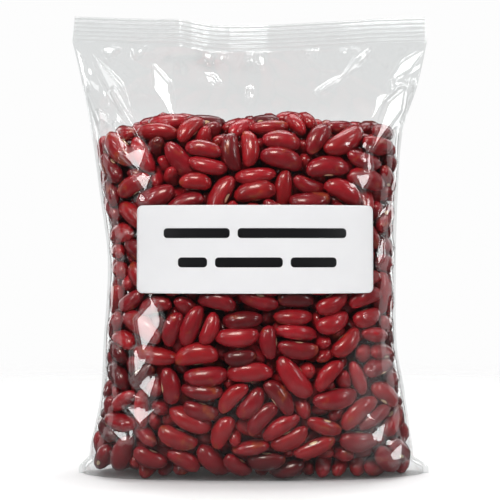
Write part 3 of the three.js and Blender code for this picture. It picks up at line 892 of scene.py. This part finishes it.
# The small creases: random peaks joined by flat facets, strongest down both sides and in the corners
creases = {
    "count": 900,
    "halfWidth": 92,
    "heights": (-4, 206),
    "frame": [(-120, -30), (120, -30), (120, 240), (-120, 240)],  # flat corners beyond the film
    "middle": 2,
    "sideFrom": (44, 62),  # distance from the middle where the sides' creases begin and are full
    "side": 0.75,
    "headFrom": (140, 165),  # the empty film has fewer of them
    "headCalm": 0.6,
    "footFrom": (26, 6),
    "foot": 0.5,
    "topFrom": (182, 200),
    "top": 0.45,
    "least": 0.05,
    "most": 1.1,
    "lifts": (-0.25, 1),
}


def crumple(x, z, rng):
    px = rng.uniform(-creases["halfWidth"], creases["halfWidth"], creases["count"])
    pz = rng.uniform(*creases["heights"], creases["count"])
    side = smoothStep(*creases["sideFrom"], np.abs(px - creases["middle"]))
    side = side * (1 - creases["headCalm"] * smoothStep(*creases["headFrom"], pz))
    ends = smoothStep(*creases["footFrom"], pz) * creases["foot"]
    ends = ends + smoothStep(*creases["topFrom"], pz) * creases["top"]
    strength = np.clip(creases["least"] + creases["side"] * side + ends, 0, creases["most"])
    lift = rng.uniform(*creases["lifts"], creases["count"]) * strength
    points = [Vector(p) for p in zip(px, pz)] + [Vector(p) for p in creases["frame"]]
    lift = np.append(lift, [0] * len(creases["frame"]))
    corners, _, faces, origin, _, _ = delaunay_2d_cdt(points, [], [], 0, 1e-5)
    lift = np.array([lift[o[0]] for o in origin])
    flat = BVHTree.FromPolygons([Vector((c.x, c.y, 0)) for c in corners], faces)
    result = np.zeros(x.size)
    corners = np.array([[c.x, c.y] for c in corners])
    for k, (a, b) in enumerate(zip(x.ravel(), z.ravel())):
        _, _, face, _ = flat.find_nearest(Vector((a, b, 0)))
        i, j, m = faces[face]
        p, q, r = corners[i], corners[j], corners[m]
        area = (q[0] - p[0]) * (r[1] - p[1]) - (r[0] - p[0]) * (q[1] - p[1])
        u = ((q[0] - a) * (r[1] - b) - (r[0] - a) * (q[1] - b)) / area
        v = ((r[0] - a) * (p[1] - b) - (p[0] - a) * (r[1] - b)) / area
        result[k] = u * lift[i] + v * lift[j] + (1 - u - v) * lift[m]
    return result.reshape(x.shape)


# The film's slopes along X and Z that show the camera a lamp's image at a point
def slopesTo(lamp, point):
    seen = unit(np.array(studio["camera"]) - point) + unit(np.array(studio["lamps"][lamp][0]) - point)
    return seen[0] / -seen[1], seen[2] / -seen[1]


# The front sheet with its blades: each is a plane that just clears the film and falls back all round
def pleat(points, plain, out, calm):
    pleated = points.copy()
    x, z = points[..., 0], points[..., 2]
    slopes = np.stack([np.gradient(plain[..., 1], axis=1 - k) / np.gradient(plain[..., 2 * k], axis=1 - k)
                       for k in range(2)], -1)
    gap, rim = folds["nearLabel"], folds["rim"]
    clear = (x < label["left"] - gap) | (x > label["right"] + gap)
    clear |= (z < label["bottom"] - gap) | (z > label["top"] + gap)
    for *ends, wide, widest, lamp in blades.values():
        top, foot = np.array(ends).reshape(2, 2)
        length = np.hypot(*(foot - top))
        ex, ez = (foot - top) / length
        along = (x - top[0]) * ex + (z - top[1]) * ez
        across = (x - top[0]) * ez - (z - top[1]) * ex
        share = np.clip(along / length, 0, 1)
        half = wide / 2 * np.minimum(share / widest, (1 - share) / (1 - widest)) + rim
        nearAlong = np.clip(along, -rim, length + rim)
        nearAcross = np.clip(across, -half, half)
        away = np.hypot(along - nearAlong, across - nearAcross)
        nearX = top[0] + nearAlong * ex + nearAcross * ez
        nearZ = top[1] + nearAlong * ez - nearAcross * ex
        inside = (away < 1e-6) & (calm > 0.5)
        if not inside.any():
            continue
        middle = (top + foot) / 2
        slopeX, slopeZ = slopesTo(lamp, np.array([middle[0], np.mean(points[inside][:, 1]), middle[1]]))
        ownX, ownZ = np.mean(slopes[inside], axis=0)
        ease = studio["lamps"][lamp][1][1] * folds["ease"]
        slopeZ += np.clip(ownZ - slopeZ, -ease, ease)  # the lamp's height leaves the blade this much play
        plane = slopeX * (nearX - middle[0]) + slopeZ * (nearZ - middle[1])
        plane += np.min((points[..., 1] - plane)[inside]) - film["skin"]
        tent = plane + ownX * (x - nearX) + ownZ * (z - nearZ)
        tent = tent + folds["back"] * away + folds["curl"] * away**2
        pleated[..., 1] = np.where(clear, np.minimum(pleated[..., 1], tent), pleated[..., 1])
    frontal = smoothStep(*folds["frontal"], -out[..., 1])
    pleated[..., 1] = blendTo(points[..., 1], pleated[..., 1], calm * frontal)
    print("pleats stand off by up to", round(float(np.max(points[..., 1] - pleated[..., 1])), 1), "mm")
    return pleated


# The bag's flat bottom, between the lowest edges of its two sheets
def makeBase(frontEdge, backEdge, rng):
    at, known = np.linspace(0, 1, len(frontEdge)), np.linspace(0, 1, len(backEdge))
    back = np.stack([np.interp(at, known, backEdge[:, k]) for k in range(3)], -1)
    across = np.linspace(0, 1, film["baseRows"])[:, None, None]
    base = blendTo(frontEdge[None], back[None], across)
    base[..., 2] = bag["footLift"] + film["baseRuffle"] * rng.random(base.shape[:2])
    return base


# The front sheet, then the back sheet with the bottom
def makeFilm(beansTree):
    rng = np.random.default_rng(film["seed"])
    pieces, feet = [], []
    for name, face, columns, rows in (("film_front", -1, film["columns"], film["rows"]),
                                      ("film_back", 1, film["backColumns"], film["backRows"])):
        points, out, level = plainPanel(face, columns, rows)
        lift = drape(points, out, beansTree)
        fold = crumple(points[..., 0], points[..., 2], rng)
        calm = (1 - stepFrom(sealStart, film["calmSeal"], level)) * smoothStep(*film["calmFoot"], level)
        room = np.minimum(1, np.abs(points[..., 1]) / film["creaseDepth"] + film["creaseLeast"])
        crumpled = points + out * (lift + fold * calm * room)[..., None]
        moved = pleat(crumpled, points, out, calm) if face < 0 else crumpled
        fold = fold + crumpled[..., 1] - moved[..., 1]
        bend = np.zeros_like(lift)
        bend[1:-1, 1:-1] = np.abs(fold[:-2, 1:-1] + fold[2:, 1:-1] + fold[1:-1, :-2] + fold[1:-1, 2:]
                                  - 4 * fold[1:-1, 1:-1])
        # A milky patch low on the front's right is a painted sheen that stands for the lamps' pale reflection
        # in the film; it joins the creases' haze
        off = (points[..., [0, 2]] - film["paintedSheenMiddle"]) / film["paintedSheenReach"]
        paintedSheen = smoothStep(1, film["paintedSheenEdge"], np.linalg.norm(off, axis=-1)) * (face < 0)
        haze = np.clip(bend * film["creaseHaze"] + film["paintedSheen"] * paintedSheen, 0, 1)
        # The weld is milkier on its crests than in its grooves: partly its pressed pattern, partly painted
        # highlight lines along the ribs
        crests = film["groove"] + (1 - film["groove"]) * ribWave(level) ** 2
        marks = {
            "creasesAndSheen": haze * calm,
            "sealed": stepFrom(sealStart, film["weldFade"], level) * crests,
            "slack": stepFrom(bag["heapTop"], film["slackFrom"], points[..., 2]),
        }
        panels = [(moved, face > 0)]
        feet.append(moved[0])
        if face > 0:
            panels.append((makeBase(*feet, rng), True))
        mesh = gridMesh(name, panels)
        for mark, values in marks.items():
            known = np.zeros(len(mesh.vertices), np.float32)  # the bottom has none of these marks
            known[:values.size] = values.ravel()
            mesh.attributes.new(mark, "FLOAT", "POINT").data.foreach_set("value", known)
        pieces.append(addObject(name, mesh))
    return pieces


# Clear polypropylene, cast as a thin film and heat sealed: see-through and faintly grey, with sharp bright
# reflections. Creases, the weld and film that is seen edge-on look milky, and a patch low on the front's
# right is made milky as a painted sheen.
filmFinish = {
    "overBeans": "#f8f9f9",  # what passes through one sheet
    "slack": "#f5f6f6",
    "milk": "#eceeee",
    "milkRoughness": 0.3,
    "milkIor": 1.5,
    "leastMilk": 0.001,
    "creaseAndSheenMilk": 0.1,
    "sealMilk": 0.08,
    "edgeMilk": 0.3,
    "edgeBlend": 0.3,
    "edgePower": 5.0,
    "ior": 1.45,
    "bothSides": 1.9,  # a sheet mirrors with both its faces
    "glossMost": 0.2,
    "glossColour": "#ffffff",
    "glossRoughness": 0.05,
}


def makeFilmMaterial():
    clear, tree, shader = newMaterial("castPolypropyleneFilm")
    tree.nodes.remove(shader)
    creasesAndSheen, sealed, slack = (addNode(tree, "ShaderNodeAttribute", {"attribute_name": mark})
                              for mark in ("creasesAndSheen", "sealed", "slack"))
    tints = {6: toLinear(filmFinish["overBeans"]), 7: toLinear(filmFinish["slack"])}
    tint = addNode(tree, "ShaderNodeMix", {"data_type": "RGBA"}, tints, {"Factor": slack.outputs["Fac"]})
    seeThrough = addNode(tree, "ShaderNodeBsdfTransparent", links={"Color": tint})
    milk = addNode(tree, "ShaderNodeBsdfPrincipled", values={
        "Base Color": toLinear(filmFinish["milk"]), "Roughness": filmFinish["milkRoughness"],
        "IOR": filmFinish["milkIor"]})
    edgeOn = addNode(tree, "ShaderNodeLayerWeight", values={"Blend": filmFinish["edgeBlend"]})
    steep = addNode(tree, "ShaderNodeMath", {"operation": "POWER"}, {1: filmFinish["edgePower"]},
                    {0: edgeOn.outputs["Facing"]})
    # Milk from the creases and from the painted sheen patch
    haze = addNode(tree, "ShaderNodeMath", {"operation": "MULTIPLY_ADD"},
                   {1: filmFinish["creaseAndSheenMilk"], 2: filmFinish["leastMilk"]}, {0: creasesAndSheen.outputs["Fac"]})
    for source, much in ((sealed.outputs["Fac"], filmFinish["sealMilk"]), (steep, filmFinish["edgeMilk"])):
        haze = addNode(tree, "ShaderNodeMath", {"operation": "MULTIPLY_ADD"}, {1: much}, {0: source, 2: haze})
    body = addNode(tree, "ShaderNodeMixShader", links={"Fac": haze, 1: seeThrough, 2: milk})
    mirror = addNode(tree, "ShaderNodeBsdfGlossy", values={
        "Color": toLinear(filmFinish["glossColour"]), "Roughness": filmFinish["glossRoughness"]})
    gloss = addNode(tree, "ShaderNodeFresnel", values={"IOR": filmFinish["ior"]})
    for change, much in (("MULTIPLY", filmFinish["bothSides"]), ("MINIMUM", filmFinish["glossMost"])):
        gloss = addNode(tree, "ShaderNodeMath", {"operation": change}, {1: much}, {0: gloss})
    mixed = addNode(tree, "ShaderNodeMixShader", links={"Fac": gloss, 1: body, 2: mirror})
    linkSockets(tree, tree.nodes["Material Output"], {"Surface": mixed})
    return clear


print("draping the film")
filmPieces = makeFilm(searchTree(outerBeans, innerBeans))
filmMaterial = makeFilmMaterial()
for piece in filmPieces:
    piece.data.materials.append(filmMaterial)


# A point that stands off the plain front of the film
def onFront(x, z, stand):
    width = np.where(x < 0, reach("left", z), reach("right", z))
    depth = filmDepth(x / width, width, reach("front", z), z)
    return np.stack([x, -(depth + stand), z], -1)


# A thin sheet with round corners that follows the bag's front
def patch(name, edges, corner, stand, thickness, step):
    left, right, bottom, top = edges
    columns, rows = int((right - left) / step) + 1, int((top - bottom) / step) + 1
    u = np.linspace(-1, 1, columns)[None, :] + np.zeros((rows, 1))
    v = np.linspace(-1, 1, rows)[:, None] + np.zeros((1, columns))
    halfX, halfZ = (right - left) / 2, (top - bottom) / 2
    x, z = u * halfX, v * halfZ
    overX = np.maximum(0, np.abs(x) - halfX + corner)
    overZ = np.maximum(0, np.abs(z) - halfZ + corner)
    over = np.hypot(overX, overZ)
    most = np.maximum(overX, overZ)
    squeeze = np.where(over > 1e-6, most / np.maximum(over, 1e-6), 1)  # square corners drawn to round ones
    x = np.sign(x) * (np.minimum(np.abs(x), halfX - corner) + overX * squeeze) + (left + right) / 2
    z = np.sign(z) * (np.minimum(np.abs(z), halfZ - corner) + overZ * squeeze) + (bottom + top) / 2
    piece = addObject(name, gridMesh(name, [(onFront(x, z, stand), False)]))
    wall = piece.modifiers.new("wall", "SOLIDIFY")
    wall.thickness = thickness * mm
    wall.offset = 1
    return piece


print("laying on the label")
labelEdges = [label[edge] for edge in ("left", "right", "bottom", "top")]
labelPiece = patch(
    "label_sheet", labelEdges, label["corner"], label["gap"], label["thickness"], label["step"])
onPaper = label["gap"] + label["thickness"] + label["barThickness"]
printed = [
    patch(f"label_bar_{k}", edges, label["barCorner"], onPaper, label["barThickness"], label["barStep"])
    for k, edges in enumerate(label["bars"])]
labelPiece.data.materials.append(cloudedMaterial("coatedPaper", **label["paper"]))
ink = cloudedMaterial("blackInk", **label["ink"])
for bar in printed:
    bar.data.materials.append(ink)

for piece in (core, outerBeans, innerBeans, *filmPieces, labelPiece, *printed):
    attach(piece, "root")
for piece in (core, outerBeans, innerBeans):
    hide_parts("beans")
for piece in filmPieces:
    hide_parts("bag")
for piece in (labelPiece, *printed):
    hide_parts("label")


def addLight(name, place, size, power, colour=studio["white"]):
    lamp = bpy.data.lights.new(name, "AREA")
    lamp.shape = "RECTANGLE"
    lamp.size, lamp.size_y = size[0] * mm, size[1] * mm
    lamp.energy = power
    lamp.color = toLinear(colour)[:3]
    held = addObject(name, lamp)
    held.location = Vector(place) * mm
    held.rotation_euler = (Vector(studio["aim"]) - Vector(place)).to_track_quat("-Z", "Y").to_euler()
    return held


print("setting up the studio")
for name, lamp in studio["lamps"].items():
    addLight(name, *lamp)
fills = {name: addLight(name, *lamp) for name, lamp in studio["fills"].items()}
for fill in fills.values():
    fill.visible_glossy = False

# The beans have their own fill and sheen from the upper left, so each is round and glossy
beansOnly = bpy.data.collections.new("beansOnly")
allButBeans = bpy.data.collections.new("allButBeans")
for piece in (outerBeans, innerBeans):
    beansOnly.objects.link(piece)
    allButBeans.objects.link(piece)
for held in allButBeans.collection_objects:
    held.light_linking.link_state = "EXCLUDE"
fills["frontFill"].light_linking.receiver_collection = allButBeans
fills["beanFill"].light_linking.receiver_collection = beansOnly
sheen = addLight("beanSheen", *studio["beanSheen"], studio["sheenColour"])
sheen.light_linking.receiver_collection = beansOnly


# A sheet of matt cast acrylic: plain white with hardly a reflection. It glows, but less near the bag, which
# paints a soft shadow round the bag's foot, and its edge fades into the white room.
def makeFloor():
    radius, sides = studio["floorRadius"] * mm, studio["floorSides"]
    ring = [(radius * math.cos(2 * math.pi * k / sides), radius * math.sin(2 * math.pi * k / sides), 0)
            for k in range(sides)]
    mesh = bpy.data.meshes.new("floor")
    mesh.from_pydata(ring, [], [tuple(range(sides))])
    floor = addObject("floor", mesh)
    white, tree, shader = newMaterial("mattAcrylic")
    setSockets(shader, {
        "Base Color": toLinear(studio["floorColour"]), "Roughness": studio["floorRoughness"],
        "Specular IOR Level": studio["floorGloss"], "Emission Color": toLinear(studio["white"])})
    place = addNode(tree, "ShaderNodeTexCoord")
    far = addNode(tree, "ShaderNodeVectorMath", {"operation": "LENGTH"}, links={0: place.outputs["Object"]})
    foot, mirror = bag["right"][0] * mm, studio["mirroredFloor"] * mm
    nearest, farthest = studio["paintedShadowRing"]
    # The first ring dims the glow near the bag: a painted shadow round its foot
    rings = (
        (foot * nearest, foot * farthest, studio["paintedShadowGlow"], studio["floorGlow"]),
        (radius * studio["floorFade"], radius, 1.0, 0.0),
        (mirror * studio["mirrorFade"], mirror, studio["floorMirror"], 0.0),
    )
    glow, shown, mirrored = (addNode(tree, "ShaderNodeMapRange", {"interpolation_type": "SMOOTHSTEP"}, {
        "From Min": start, "From Max": end, "To Min": first, "To Max": last}, {"Value": far})
        for start, end, first, last in rings)
    ray = addNode(tree, "ShaderNodeLightPath")
    alpha = addNode(tree, "ShaderNodeMix", {"data_type": "FLOAT"}, links={
        "Factor": ray.outputs["Is Glossy Ray"], "A": shown, "B": mirrored})
    linkSockets(tree, shader, {"Emission Strength": glow, "Alpha": alpha})
    mesh.materials.append(white)
    return floor


makeFloor()

# The room is white to the eye and soft grey as a light, so the film's gloss keeps its contrast
world = bpy.data.worlds.new("room")
bpy.context.scene.world = world
world.use_nodes = True
roomTree = world.node_tree
rays = addNode(roomTree, "ShaderNodeLightPath")
glow = addNode(roomTree, "ShaderNodeBackground", values={
    "Color": toLinear(studio["white"]), "Strength": studio["roomLight"]})
backdrop = addNode(roomTree, "ShaderNodeBackground", values={
    "Color": toLinear(studio["backdrop"]), "Strength": 1.0})
room = addNode(roomTree, "ShaderNodeMixShader", links={
    "Fac": rays.outputs["Is Camera Ray"], 1: glow, 2: backdrop})
linkSockets(roomTree, roomTree.nodes["World Output"], {"Surface": room})

camera = addObject("camera", bpy.data.cameras.new("camera"))
camera.data.lens = studio["lens"]
camera.location = Vector(studio["camera"]) * mm
camera.rotation_euler = (math.pi / 2, 0, 0)
bpy.context.scene.camera = camera
bpy.context.scene.view_settings.view_transform = "Standard"

print("bag of beans ready")
